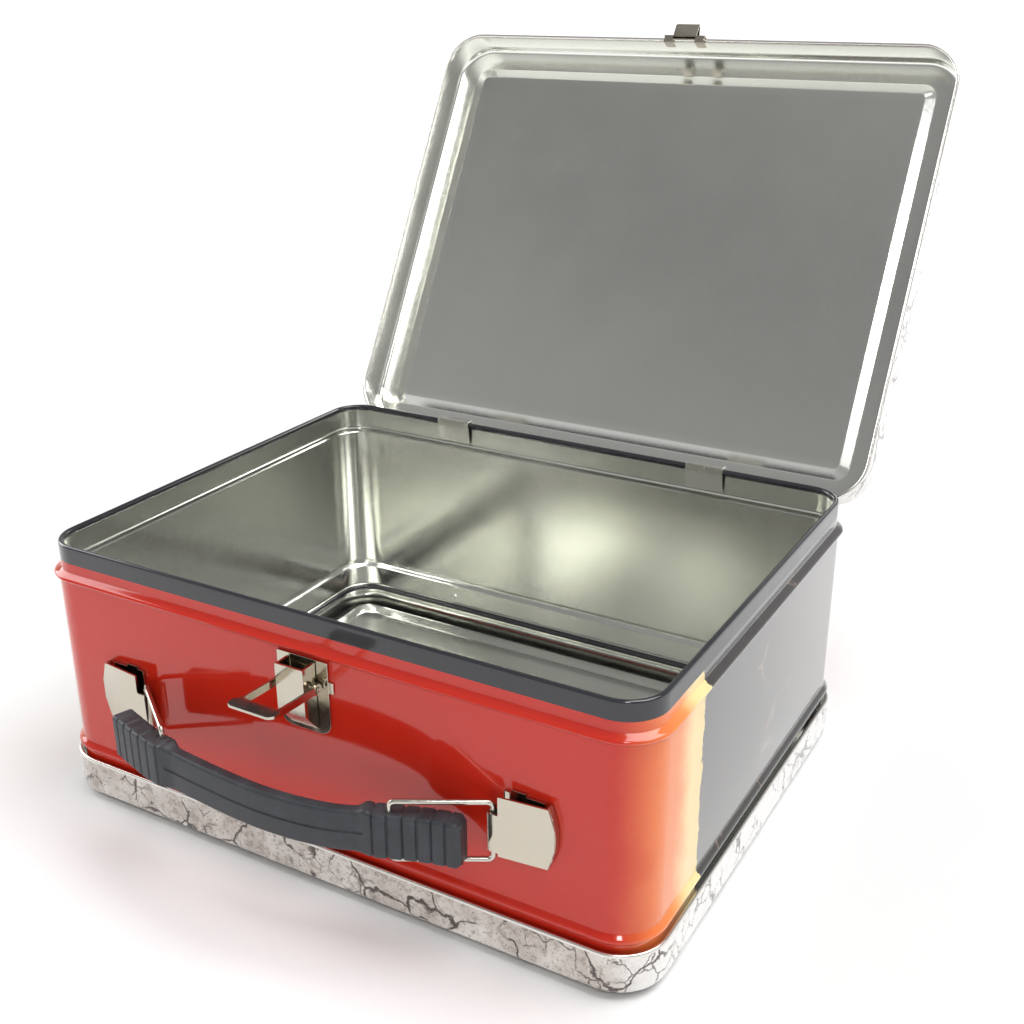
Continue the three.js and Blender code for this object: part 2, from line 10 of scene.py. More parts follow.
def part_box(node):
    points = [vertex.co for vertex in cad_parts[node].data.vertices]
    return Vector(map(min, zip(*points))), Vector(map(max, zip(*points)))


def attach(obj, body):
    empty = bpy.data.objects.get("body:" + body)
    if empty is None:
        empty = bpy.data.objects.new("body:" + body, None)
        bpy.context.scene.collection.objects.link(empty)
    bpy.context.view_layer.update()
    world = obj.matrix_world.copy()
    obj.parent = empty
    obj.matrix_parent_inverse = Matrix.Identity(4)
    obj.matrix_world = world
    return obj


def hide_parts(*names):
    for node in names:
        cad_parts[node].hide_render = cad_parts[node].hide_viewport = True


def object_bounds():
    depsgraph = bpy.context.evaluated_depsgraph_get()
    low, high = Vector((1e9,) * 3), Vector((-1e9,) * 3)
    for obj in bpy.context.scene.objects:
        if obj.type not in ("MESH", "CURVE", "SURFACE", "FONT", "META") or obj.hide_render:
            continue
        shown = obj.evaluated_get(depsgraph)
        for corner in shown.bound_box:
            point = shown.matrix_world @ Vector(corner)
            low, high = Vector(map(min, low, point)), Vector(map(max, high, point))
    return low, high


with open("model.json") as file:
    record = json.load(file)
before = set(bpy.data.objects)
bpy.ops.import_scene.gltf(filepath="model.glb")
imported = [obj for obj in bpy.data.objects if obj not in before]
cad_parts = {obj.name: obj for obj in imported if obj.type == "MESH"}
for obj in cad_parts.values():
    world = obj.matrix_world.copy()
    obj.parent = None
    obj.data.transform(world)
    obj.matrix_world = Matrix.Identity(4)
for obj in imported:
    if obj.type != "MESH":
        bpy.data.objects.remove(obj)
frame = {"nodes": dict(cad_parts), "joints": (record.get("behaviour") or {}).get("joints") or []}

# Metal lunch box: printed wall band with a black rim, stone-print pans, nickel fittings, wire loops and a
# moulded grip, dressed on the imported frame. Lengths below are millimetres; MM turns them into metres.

MM = 0.001
CAD_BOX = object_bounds()
NODES = frame["nodes"]
JOINTS = {joint["name"]: joint for joint in frame["joints"]}


def node_box(name):
    """A CAD node's lowest and highest corners, in millimetres."""
    low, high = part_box(name)
    return low / MM, high / MM


# ---------------------------------------------------------------- sizes, read off the frame where it has them

BEAD = 1.5                    # how far the wall's two beads stand out
SHEET = 0.5
NECK_STEP = 0.9               # the neck under the rim stands in by this
MID_WALL = ((0, 40), (0, 60))   # (offset, height) of two rings in the wall's flat middle
BAND_LOW, BAND_HIGH = node_box("body_band")
WALL_X = BAND_HIGH.x - BEAD
WALL_Y = BAND_HIGH.y - BEAD
WALL_CORNER = 13.5
LOWER_BEAD = (19.2, 1.9)      # height of its middle, half its height
UPPER_BEAD = (82.6, 1.7)
PRINT_FROM = 12.6             # the print runs up from this height, inside the base pan; the black below it is painted shade for the gap
BLACK_FROM = 87.6             # the rim's black paint starts here
RIM = 1.9                     # width of the rolled rim
FOOT = 2.4                    # width of the rolled foot

PAN_HIGH = node_box("base_pan")[1]
PAN_X = PAN_HIGH.x
PAN_Y = PAN_HIGH.y
BASE_PRESS = 1.5              # the base's panel stands out of its border
LID_PRESS = -1.2              # the lid's stands in
PAN_HEIGHT = PAN_HIGH.z - BASE_PRESS
PAN_CORNER = 15.7
PAN_EDGE = 2.6
PAN_HEM = 1.3
PRESS_BORDER = 9.5            # width of the flat border round the panel
PRESS_SLOPE = 4.7
PRESS_CORNER = 2.0
SPOT_X, SPOT_Z = 58.0, 11.6   # the clinched spots that fasten the wall to the base pan
SPOT = ((0.7, 0.05), (1.05, 0.42), (1.4, 0.48), (1.75, 0.12), (1.85, -0.2))   # (radius, rise), dish outwards

HINGE = Vector(JOINTS["lid_hinge"]["pos_m"])
LID_ANGLE = math.radians(JOINTS["lid_hinge"]["range_deg"][1])
OPEN_LID = Matrix.Translation(HINGE) @ Matrix.Rotation(-LID_ANGLE, 4, "X") @ Matrix.Translation(-HINGE)

CORNER_STEPS = 14


def lid_top():
    """Height of the lid's top when it is shut, in millimetres."""
    shut = OPEN_LID.inverted()
    return max((shut @ v.co).z for v in NODES["lid_pan"].data.vertices) / MM


# ---------------------------------------------------------------- materials

class Material:
    """A node material under construction, with textures in millimetres of the object's own space."""

    def __init__(self, name, **shader):
        self.material = bpy.data.materials.new(name)
        self.material.use_nodes = True
        self.tree = self.material.node_tree
        self.tree.nodes.clear()
        output = self.tree.nodes.new("ShaderNodeOutputMaterial")
        self.shader = self.tree.nodes.new("ShaderNodeBsdfPrincipled")
        self.link(self.shader.outputs["BSDF"], output.inputs["Surface"])
        for socket, value in shader.items():
            self.shader.inputs[socket.replace("_", " ")].default_value = value
        coordinates = self.tree.nodes.new("ShaderNodeTexCoord")
        self.place = self.vector("SCALE", coordinates.outputs["Object"], scale=1 / MM)

    def link(self, source, target):
        self.tree.links.new(source, target)

    def feed(self, socket, value):
        if isinstance(value, bpy.types.NodeSocket):
            self.link(value, socket)
        else:
            socket.default_value = value

    def vector(self, operation, a, b=None, scale=None, output="Vector"):
        node = self.tree.nodes.new("ShaderNodeVectorMath")
        node.operation = operation
        self.feed(node.inputs[0], a)
        if b is not None:
            self.feed(node.inputs[1], b)
        if scale is not None:
            node.inputs["Scale"].default_value = scale
        return node.outputs[output]

    def stretched(self, x, y, z):
        return self.vector("MULTIPLY", self.place, (x, y, z))

    def axes(self):
        node = self.tree.nodes.new("ShaderNodeSeparateXYZ")
        self.link(self.place, node.inputs[0])
        return node.outputs

    def maths(self, operation, a, b=0.0):
        node = self.tree.nodes.new("ShaderNodeMath")
        node.operation = operation
        self.feed(node.inputs[0], a)
        self.feed(node.inputs[1], b)
        return node.outputs[0]

    def noise(self, size, detail=3.0, rough=0.55, place=None):
        """Noise with features about size millimetres across."""
        node = self.tree.nodes.new("ShaderNodeTexNoise")
        self.link(place or self.place, node.inputs["Vector"])
        node.inputs["Scale"].default_value = 1 / size
        node.inputs["Detail"].default_value = detail
        node.inputs["Roughness"].default_value = rough
        return node.outputs

    def cells(self, size, place=None):
        """Distance to the nearest edge between cells about size millimetres across."""
        node = self.tree.nodes.new("ShaderNodeTexVoronoi")
        node.feature = "DISTANCE_TO_EDGE"
        self.link(place or self.place, node.inputs["Vector"])
        node.inputs["Scale"].default_value = 1 / size
        return node.outputs["Distance"]

    def warped(self, size, amount):
        """Places pushed about by noise, for lines that shouldn't run straight."""
        colour = self.noise(size, 4.0)["Color"]
        push = self.vector("SCALE", self.vector("SUBTRACT", colour, (0.5, 0.5, 0.5)), scale=amount)
        return self.vector("ADD", self.place, push)

    def between(self, value, low, high, to_low=0.0, to_high=1.0, smooth=True):
        node = self.tree.nodes.new("ShaderNodeMapRange")
        node.interpolation_type = "SMOOTHSTEP" if smooth else "LINEAR"
        self.link(value, node.inputs["Value"])
        for socket, number in zip(("From Min", "From Max", "To Min", "To Max"), (low, high, to_low, to_high)):
            node.inputs[socket].default_value = number
        return node.outputs["Result"]

    def blend(self, share, a, b):
        """Colour a turning into colour b."""
        node = self.tree.nodes.new("ShaderNodeMix")
        node.data_type = "RGBA"
        self.feed(node.inputs["Factor"], share)
        for socket, colour in ((node.inputs[6], a), (node.inputs[7], b)):
            self.feed(socket, (*colour, 1.0) if isinstance(colour, tuple) else colour)
        return node.outputs[2]

    def bump(self, height, depth, strength=1.0, under=None):
        """Relief of the given depth in millimetres, on top of an earlier relief."""
        node = self.tree.nodes.new("ShaderNodeBump")
        node.inputs["Strength"].default_value = strength
        node.inputs["Distance"].default_value = depth * MM
        self.link(height, node.inputs["Height"])
        if under is not None:
            self.link(under, node.inputs["Normal"])
        return node.outputs["Normal"]

    def colour(self, value):
        self.feed(self.shader.inputs["Base Color"], value)

    def gloss(self, value):
        self.feed(self.shader.inputs["Roughness"], value)

    def relief(self, value):
        self.link(value, self.shader.inputs["Normal"])


RED = (0.53, 0.019, 0.008)
RED_LIGHT = (0.60, 0.027, 0.012)
ORANGE = (0.90, 0.27, 0.08)
CREAM = (0.93, 0.72, 0.36)
PANEL = (0.040, 0.038, 0.039)
PANEL_LIGHT = (0.080, 0.073, 0.070)
STREAK = (0.42, 0.27, 0.21)

# Where the print turns from one colour to the next, in millimetres, from and to.
TO_ORANGE = (-12, 20)         # round the front corner, measured along both walls
TO_CREAM = (17, 31)           # behind the front wall
BACK_TO_ORANGE = (16, 26)     # on the back wall, in from its side
BACK_TO_RED = (24, 38)
PANEL_EDGE = (36.6, 37.0)     # the side panel's front edge, behind the front wall
PANEL_BACK_EDGE = (13.5, 13.9)   # its edge on the back wall, in from the side
FRONT_COAT, SIDE_COAT = 0.35, 1.0


def print_material():
    """The printed wall: red, fading at the front corners through orange and cream to a dark side panel."""
    m = Material("wall_print", IOR=1.45, Coat_Roughness=0.03)
    axes = m.axes()
    depth = m.maths("ADD", axes["Y"], WALL_Y)
    back = m.maths("SUBTRACT", WALL_X, m.maths("ABSOLUTE", axes["X"]))
    on_back = m.between(axes["Y"], WALL_Y - 0.9, WALL_Y - 0.4)
    ragged = m.noise(5.0, 6.0, 0.7)["Fac"]
    wander = m.between(ragged, 0.25, 0.75, -1.6, 1.6, smooth=False)
    along = m.maths("ADD", depth, wander)
    soft = m.maths("ADD", depth, m.between(m.noise(14.0)["Fac"], 0.3, 0.7, -1.5, 1.5))
    round_corner = m.maths("SUBTRACT", soft, back)
    red = m.blend(m.noise(45.0, 2.0)["Fac"], RED, RED_LIGHT)
    fade = m.blend(m.between(round_corner, *TO_ORANGE), red, ORANGE)
    fade = m.blend(m.between(soft, *TO_CREAM), fade, CREAM)
    behind = m.blend(m.between(back, *BACK_TO_ORANGE), CREAM, ORANGE)
    behind = m.blend(m.between(back, *BACK_TO_RED), behind, red)
    fade = m.blend(on_back, fade, behind)
    grit = m.blend(m.noise(9.0, 8.0, 0.75)["Fac"], PANEL, PANEL_LIGHT)
    streaks = m.between(m.cells(34, place=m.warped(16, 15)), 0.0, 0.02, 0.7, 0.0)
    streak_mask = m.between(m.noise(26.0, 2.0)["Fac"], 0.50, 0.60)
    grit = m.blend(m.maths("MULTIPLY", streaks, streak_mask), grit, STREAK)
    side_share = m.between(along, *PANEL_EDGE)
    back_share = m.between(m.maths("ADD", back, wander), *PANEL_BACK_EDGE, 1.0, 0.0)
    share = m.maths("MULTIPLY", side_share, m.maths("MAXIMUM", back_share, m.maths("SUBTRACT", 1.0, on_back)))
    m.colour(m.blend(share, fade, grit))
    m.feed(m.shader.inputs["Coat Weight"], m.between(share, 0.0, 1.0, FRONT_COAT, SIDE_COAT))
    m.gloss(m.between(m.noise(30.0, 4.0)["Fac"], 0.3, 0.7, 0.05, 0.11))
    peel = m.bump(m.noise(1.4, 2.0)["Fac"], 0.006)
    m.relief(m.bump(m.noise(70.0, 1.0)["Fac"], 0.5, under=peel))
    return m.material


def black_material():
    """Black lacquer on the rim and the foot's inner curl. The same black on the wall low in the base pan's
    gap, below the print, is painted shade.
    """
    m = Material("black_lacquer_and_gap_shade", IOR=1.45, Coat_Weight=0.6, Coat_Roughness=0.06)
    m.colour(m.blend(m.noise(25.0, 4.0)["Fac"], (0.012, 0.013, 0.016), (0.028, 0.030, 0.036)))
    m.gloss(m.between(m.noise(8.0, 4.0)["Fac"], 0.3, 0.7, 0.12, 0.22))
    m.relief(m.bump(m.noise(1.8, 3.0)["Fac"], 0.01))
    return m.material


def tin_material(name, tint, rough):
    """Bare tinplate: a fine grain across the rolling direction, and large soft waves in the sheet."""
    m = Material(name, Metallic=1.0)
    grain = m.noise(0.7, 3.0, 0.6, place=m.stretched(1.0, 0.35, 0.35))["Fac"]
    patches = m.noise(28.0, 3.0)["Fac"]
    dark = tuple(0.96 * c for c in tint)
    m.colour(m.blend(patches, dark, tint))
    m.gloss(m.maths("ADD", m.between(patches, 0.3, 0.7, rough - 0.01, rough + 0.015),
                    m.between(grain, 0.3, 0.7, -0.02, 0.02)))
    fine = m.bump(grain, 0.003)
    m.relief(m.bump(m.noise(60.0, 0.0)["Fac"], 0.35, under=fine))
    return m.material


def stone_material():
    """Pale stone print: greige patches, speckle, and dark cracks of two sizes, under clear lacquer, with
    painted light paling the pan's ends towards white.
    """
    m = Material("stone_print", IOR=1.5, Coat_Weight=0.8, Coat_Roughness=0.08)
    patches = m.noise(22.0, 6.0, 0.6)["Fac"]
    base = m.blend(m.between(patches, 0.35, 0.65), (0.58, 0.52, 0.47), (0.84, 0.80, 0.75))
    mottle = m.noise(2.6, 8.0, 0.75)["Fac"]
    base = m.blend(m.between(mottle, 0.48, 0.66, 0.0, 0.80), base, (0.25, 0.19, 0.15))
    specks = m.noise(0.9, 3.0, 0.6)["Fac"]
    base = m.blend(m.between(specks, 0.60, 0.68, 0.0, 0.75), base, (0.09, 0.07, 0.06))
    coarse = m.between(m.cells(24, place=m.warped(11, 13)), 0.008, 0.030, 1.0, 0.0)
    coarse_mask = m.between(m.noise(15.0, 4.0)["Fac"], 0.38, 0.48)
    fine = m.between(m.cells(8, place=m.warped(4, 4.5)), 0.01, 0.045, 0.85, 0.0)
    fine_mask = m.between(m.noise(19.0, 3.0)["Fac"], 0.47, 0.55)
    coarse = m.maths("MULTIPLY", coarse, coarse_mask)
    fine = m.maths("MULTIPLY", fine, fine_mask)
    cracks = m.maths("MAXIMUM", coarse, fine)
    # Painted light: the stone pales towards near white over the pan's ends and their rounded corners, where
    # light falls on the side faces.
    across = m.maths("ABSOLUTE", m.axes()["X"])
    base = m.blend(m.between(across, PAN_X - PAN_CORNER, PAN_X, 0.0, 0.88), base, (0.90, 0.89, 0.87))
    m.colour(m.blend(cracks, base, (0.055, 0.038, 0.030)))
    m.gloss(m.between(mottle, 0.3, 0.7, 0.16, 0.30))
    m.relief(m.bump(m.noise(1.6, 2.0)["Fac"], 0.008))
    return m.material


def nickel_material(name, tint, rough):
    """Bright plating with faint haze, fine scratches and a touch of waviness."""
    m = Material(name, Metallic=1.0)
    haze = m.noise(6.0, 4.0)["Fac"]
    scratches = m.noise(0.35, 2.0, place=m.stretched(1.0, 1.0, 0.12))["Fac"]
    m.colour(m.blend(haze, tuple(0.9 * c for c in tint), tint))
    m.gloss(m.between(haze, 0.3, 0.7, rough - 0.03, rough + 0.05))
    m.relief(m.bump(m.noise(9.0, 2.0)["Fac"], 0.10, under=m.bump(scratches, 0.003)))
    return m.material


def grip_material():
    """Moulded dark plastic with a fine leathery skin and scuffed high spots."""
    m = Material("grip_plastic", IOR=1.48)
    scuffs = m.noise(7.0, 5.0, 0.65)["Fac"]
    m.colour(m.blend(m.between(scuffs, 0.4, 0.75), (0.026, 0.030, 0.036), (0.044, 0.049, 0.057)))
    m.gloss(m.between(scuffs, 0.3, 0.7, 0.38, 0.55))
    skin = m.bump(m.cells(0.55), 0.05, 0.6)
    m.relief(m.bump(m.noise(2.5, 3.0)["Fac"], 0.03, under=skin))
    return m.material


def floor_material():
    m = Material("studio_floor", Base_Color=(0.9, 0.9, 0.9, 1.0))
    m.colour(m.blend(m.noise(600.0, 2.0)["Fac"], (0.88, 0.88, 0.88), (0.9, 0.9, 0.9)))
    m.gloss(m.between(m.noise(40.0)["Fac"], 0.3, 0.7, 0.75, 0.85))
    away = m.vector("LENGTH", m.place, output="Value")
    m.feed(m.shader.inputs["Emission Color"], (1.0, 1.0, 1.0, 1.0))
    m.feed(m.shader.inputs["Emission Strength"], m.between(away, 350, 1500, 0.0, 0.9))
    return m.material


LOOKS = {
    "print": print_material(),
    "black": black_material(),
    "tin": tin_material("tinplate", (0.83, 0.835, 0.79), 0.17),
    "hem": tin_material("bright_hem", (0.80, 0.78, 0.74), 0.24),
    "stone": stone_material(),
    "nickel": nickel_material("nickel_plate", (0.61, 0.565, 0.475), 0.13),
    "wire": nickel_material("bright_wire", (0.64, 0.60, 0.53), 0.16),
    "grip": grip_material(),
}


# ---------------------------------------------------------------- making pieces

def make_object(name, mesh, looks, smooth_angle=32):
    for look in looks:
        mesh.materials.append(LOOKS[look])
    mesh.polygons.foreach_set("use_smooth", [True] * len(mesh.polygons))
    mesh.set_sharp_from_angle(angle=math.radians(smooth_angle))
    obj = bpy.data.objects.new(name, mesh)
    bpy.context.scene.collection.objects.link(obj)
    return obj


def settle(obj, body, slot, *replaced):
    """The piece rides on its body and stands for the CAD nodes it refines."""
    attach(obj, body)
    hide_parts(*replaced)
    return obj


def rounded_ring(half_x, half_y, radius, height):
    """Points round a rectangle with rounded corners, in millimetres."""
    points = []
    for corner, (sx, sy) in enumerate(((1, 1), (-1, 1), (-1, -1), (1, -1))):
        for step in range(CORNER_STEPS + 1):
            angle = (corner + step / CORNER_STEPS) * math.pi / 2
            points.append(Vector((sx * (half_x - radius) + radius * math.cos(angle),
                                  sy * (half_y - radius) + radius * math.sin(angle), height)))
    return points


def stacked(name, rings, paints, looks, closed):
    """A skin over rings of equal point counts. paints[i] is the look of the strip after ring i. An open stack
    is capped at both ends, with the looks of its first and last strips."""
    mesh = bmesh.new()
    rows = [[mesh.verts.new(point * MM) for point in ring] for ring in rings]
    count = len(rows[0])
    last = len(rows) if closed else len(rows) - 1
    for i in range(last):
        here, there = rows[i], rows[(i + 1) % len(rows)]
        for j in range(count):
            k = (j + 1) % count
            face = mesh.faces.new((here[j], here[k], there[k], there[j]))
            face.material_index = looks.index(paints[i])
    if not closed:
        first = mesh.faces.new(list(reversed(rows[0])))
        first.material_index = looks.index(paints[0])
        end = mesh.faces.new(rows[-1])
        end.material_index = looks.index(paints[-1])
    bmesh.ops.recalc_face_normals(mesh, faces=mesh.faces)
    data = bpy.data.meshes.new(name)
    mesh.to_mesh(data)
    mesh.free()
    return make_object(name, data, looks)


def add_spots(obj, y, facing, look):
    """Two clinched spots on a wall at y: low round buttons with dished middles."""
    mesh = bmesh.new()
    mesh.from_mesh(obj.data)
    turns = np.linspace(0, 2 * math.pi, 20, endpoint=False)
    for side in (-1, 1):
        rows = [[mesh.verts.new(Vector((side * SPOT_X + radius * math.cos(t), y + facing * rise,
                                        SPOT_Z + radius * math.sin(t))) * MM) for t in turns]
                for radius, rise in SPOT]
        faces = [mesh.faces.new(rows[0]), mesh.faces.new(list(reversed(rows[-1])))]
        for here, there in zip(rows, rows[1:]):
            for j in range(len(turns)):
                faces.append(mesh.faces.new((here[j], there[j], there[j - 1], here[j - 1])))
        bmesh.ops.recalc_face_normals(mesh, faces=faces)
        for face in faces:
            face.material_index = look
            face.smooth = True
    mesh.to_mesh(obj.data)
    mesh.free()


def arc(centre_a, centre_b, radius, start, end, steps):
    """Points [a, b] on an arc, angles in degrees."""
    angles = [math.radians(start + (end - start) * i / steps) for i in range(steps + 1)]
    return [(centre_a + radius * math.cos(t), centre_b + radius * math.sin(t)) for t in angles]


# ---------------------------------------------------------------- wall band

def bead(centre, half, height, below=0.0, above=0.0):
    """A bead's rounded swell from its lower edge to its upper one, between the walls below and above it."""
    steps = 12
    points = []
    for i in range(steps + 1):
        swell = math.cos(math.pi * (i / steps - 0.5)) ** 1.3
        wall = below if 2 * i < steps else above
        points.append((wall + (height - wall) * swell, centre - half + 2 * half * i / steps))
    return points


def wall_band():
    low, high = BAND_LOW.z, BAND_HIGH.z
    neck = -NECK_STEP
    roll = RIM / 2
    foot = FOOT / 2
    foot_part = [(-foot, low), *arc(-foot, low + foot, foot, -60, 0, 5)]
    print_part = [(0, PRINT_FROM), *bead(*LOWER_BEAD, BEAD), *MID_WALL,
                  *bead(*UPPER_BEAD, BEAD, above=neck)]
    black_part = [(neck, BLACK_FROM), (neck, high - roll - 0.8),
                  *arc(neck - roll, high - roll, roll, 0, 180, 10), (neck - RIM, high - 1.8)]
    tuck = [(neck - RIM + 0.25, high - 2.2), (neck - SHEET, high - 2.3)]
    inside = {"height": BEAD - SHEET, "below": -SHEET}
    inner = [*reversed(bead(*UPPER_BEAD, above=neck - SHEET, **inside)),
             *((offset - SHEET, z) for offset, z in reversed(MID_WALL)),
             *reversed(bead(*LOWER_BEAD, above=-SHEET, **inside)), (-SHEET, low + FOOT + 0.2)]
    curl = [(-SHEET - 0.4, low + FOOT), *arc(-foot, low + foot, foot, 110, 240, 7)]
    profile, paints = [], []
    # The lone black ring at the foot's top makes the wall black up to PRINT_FROM: painted shade standing for
    # the gap between the wall and the base pan's hem.
    for points, look in ((foot_part, "tin"), ([(0, low + FOOT)], "black"), (print_part, "print"),
                         (black_part, "black"), (tuck, "tin"), (inner, "tin"), (curl, "black")):
        profile += points
        paints += [look] * len(points)
    rings = [rounded_ring(WALL_X + offset, WALL_Y + offset, WALL_CORNER + offset, z) for offset, z in profile]
    looks = ["print", "black", "tin"]
    band = stacked("wall_band", rings, paints, looks, closed=True)
    add_spots(band, WALL_Y - SHEET, -1, looks.index("tin"))
    add_spots(band, SHEET - WALL_Y, 1, looks.index("tin"))
    return settle(band, "box", "enamel", "body_band")


# ---------------------------------------------------------------- stamped pans

def pan_profile(press):
    """(inset, corner radius, height, look) from the middle of the outside face, over the hem, to the inside.
    The border's outside is at height 0. A positive press puts the panel below it, a negative one above."""
    start = PRESS_BORDER + PRESS_SLOPE
    ease = [(0.0, 0.0), (0.06, 0.02), (0.14, 0.09), (0.86, 0.91), (0.94, 0.98), (1.0, 1.0)]

    def slope(lift, look):
        return [(start - PRESS_SLOPE * along, PRESS_CORNER + 0.8 * PRESS_SLOPE * along,
                 lift - press * (1 - up), look) for along, up in ease]

    def edge(thin, look):
        radius = PAN_EDGE - thin
        turns = [math.pi / 2 * i / 8 for i in range(9)]
        return [(PAN_EDGE - radius * math.sin(t), PAN_CORNER - PAN_EDGE + radius * math.sin(t),
                 PAN_EDGE - radius * math.cos(t), look) for t in turns]

    hem = PAN_HEM / 2
    rings = [(start + 3, 1.0, -press, "stone"), *slope(0.0, "stone"), *edge(0.0, "stone")]
    rings += [(0.0, PAN_CORNER, PAN_HEIGHT - 2.1, "stone"), (0.0, PAN_CORNER, PAN_HEIGHT - hem - 0.35, "hem")]
    rings += [(hem - inset, PAN_CORNER - hem + inset, z, "hem")
              for inset, z in arc(0, PAN_HEIGHT - hem, hem, 0, 180, 8)]
    rings += [(PAN_HEM, PAN_CORNER - PAN_HEM, PAN_HEIGHT - 1.4, "hem"),
              (PAN_HEM - 0.25, PAN_CORNER - PAN_HEM, PAN_HEIGHT - 1.75, "tin"),
              (SHEET, PAN_CORNER - SHEET, PAN_HEIGHT - 1.8, "tin")]
    rings += reversed(edge(SHEET, "tin"))
    rings += reversed(slope(SHEET, "tin"))
    rings.append((start + 3, 1.0, SHEET - press, "tin"))
    return rings


def pan_mesh(name, press):
    profile = pan_profile(press)
    rings = [rounded_ring(PAN_X - inset, PAN_Y - inset, radius, z) for inset, radius, z, _ in profile]
    return stacked(name, rings, [look for *_, look in profile], ["stone", "hem", "tin"], closed=False)


def pans():
    base = pan_mesh("base_shell", BASE_PRESS)
    base.data.transform(Matrix.Translation((0, 0, BASE_PRESS * MM)))
    add_spots(base, -PAN_Y, -1, 0)
    add_spots(base, PAN_Y, 1, 0)
    settle(base, "box", "stone_print", "base_pan")
    lid = pan_mesh("lid_shell", LID_PRESS)
    upside_down = Matrix.Translation((0, 0, lid_top() * MM)) @ Matrix.Rotation(math.pi, 4, "X")
    lid.data.transform(OPEN_LID @ upside_down)
    settle(lid, "lid", "stone_print", "lid_pan")


# ---------------------------------------------------------------- small metal fittings

def eased(name, node, body, slot, look, edge):
    """A CAD fitting with its flat facets joined and its edges softened by a bevel edge millimetres wide."""
    mesh = bmesh.new()
    mesh.from_mesh(NODES[node].data)
    bmesh.ops.remove_doubles(mesh, verts=mesh.verts, dist=1e-6)
    bmesh.ops.dissolve_limit(mesh, angle_limit=math.radians(2), verts=mesh.verts, edges=mesh.edges)
    data = bpy.data.meshes.new(name)
    mesh.to_mesh(data)
    mesh.free()
    data.materials.clear()
    obj = make_object(name, data, [look], smooth_angle=34)
    bevel = obj.modifiers.new("edge", "BEVEL")
    bevel.width = edge * MM
    bevel.segments = 2
    bevel.limit_method = "ANGLE"
    bevel.angle_limit = math.radians(34)
    bevel.harden_normals = True
    return settle(obj, body, slot, node)


def fittings():
    for side in ("left", "right"):
        eased(f"{side}_clip", f"hinge_{side}_body_clip", "box", "nickel", "hem", 0.12)
        eased(f"{side}_leaf", f"hinge_{side}_lid_leaf", "lid", "nickel", "nickel", 0.12)
        eased(f"{side}_hinge_pin", f"hinge_{side}_pin", "box", "nickel", "wire", 0.15)
        eased(f"{side}_strap", f"handle_bracket_{side}", "box", "nickel", "nickel", 0.18)
    eased("catch", "lid_catch", "lid", "nickel", "nickel", 0.14)
    eased("clasp_plate", "latch_plate", "box", "nickel", "nickel", 0.14)
    eased("clasp_pedestal", "latch_pedestal", "box", "nickel", "nickel", 0.2)
    eased("clasp_pin", "latch_pin", "box", "nickel", "wire", 0.2)
    eased("clasp_bail", "latch_bail", "bail", "nickel", "nickel", 0.18)


# ---------------------------------------------------------------- handle

WIRE = 0.825                  # the wire's radius
WIRE_BUTT = 0.15              # half the gap where the wire's ends meet
LOOP_LENGTH = 28.5
LOOP_CORNER = 1.6
LOOP_SWING = {1: math.radians(28.9), -1: math.radians(36.3)}


def tube(name, path, radius, look):
    """A round bar along a path in metres, capped flat at both ends."""
    sides = 14
    mesh = bmesh.new()
    rows = []
    for i, point in enumerate(path):
        ahead = path[min(i + 1, len(path) - 1)] - path[max(i - 1, 0)]
        ahead.normalize()
        across = Vector((0, 1, 0)).cross(ahead)
        if across.length < 0.1:
            across = Vector((1, 0, 0)).cross(ahead)
        across.normalize()
        over = ahead.cross(across)
        rows.append([mesh.verts.new(point + radius * (math.cos(a) * across + math.sin(a) * over))
                     for a in np.linspace(0, 2 * math.pi, sides, endpoint=False)])
    for here, there in zip(rows, rows[1:]):
        for j in range(sides):
            k = (j + 1) % sides
            mesh.faces.new((here[j], here[k], there[k], there[j]))
    mesh.faces.new(list(reversed(rows[0])))
    mesh.faces.new(rows[-1])
    bmesh.ops.recalc_face_normals(mesh, faces=mesh.faces)
    data = bpy.data.meshes.new(name)
    mesh.to_mesh(data)
    mesh.free()
    return make_object(name, data, [look], smooth_angle=50)


def wire_loop(side):
    """A rectangular loop lying along X from its pivot leg, which is butted in the middle."""
    word = "right" if side > 0 else "left"
    low, high = node_box(f"handle_loop_{word}")
    bottom, top = low.z + WIRE, high.z - WIRE
    butt = (bottom + top) / 2
    reach = LOOP_LENGTH
    c = LOOP_CORNER
    outline = [(0, butt + WIRE_BUTT), *arc(c, top - c, c, 180, 90, 8), *arc(reach - c, top - c, c, 90, 0, 8),
               *arc(reach - c, bottom + c, c, 0, -90, 8), *arc(c, bottom + c, c, -90, -180, 8),
               (0, butt - WIRE_BUTT)]
    loop = tube(f"{word}_wire", [Vector((-side * a, 0, z)) * MM for a, z in outline], WIRE * MM, "wire")
    pivot = Vector(JOINTS[f"loop_{word}_swing"]["pos_m"])
    pivot.z = 0
    loop.data.transform(Matrix.Translation(pivot) @ Matrix.Rotation(side * LOOP_SWING[side], 4, "Z"))
    return settle(loop, f"loop_{word}", "steel_wire", f"handle_loop_{word}")


GRIP_LOW, GRIP_HIGH = node_box("handle_grip")
GRIP_ARCH = ((-64.2, 14.2), (-45, 20), (-25, 23), (0, 24.6), (20, 22.5), (35, 17.3), (48, 12.6), (59, 10))
GRIP_MID_HALF = 2.05
GRIP_END_HALF = 3.55
RIB_PITCH = 4.2
RIB_COUNT = 6
RIB_DEPTH = 0.55
RIB_CUT = 0.55                # half the width of the cut between two ribs
TIP_TAPER = 0.22              # share of its thickness lost at the tip
TIP_DROP = 0.9                # how far the top and bottom edges draw in at the tip
MIDDLE_DROP = 0.5             # and along the middle
GRIP_HUMP = 0.9               # a small hump on the top edge where the ribs begin


def smoothstep(value, low, high):
    t = min(max((value - low) / (high - low), 0), 1)
    return t * t * (3 - 2 * t)


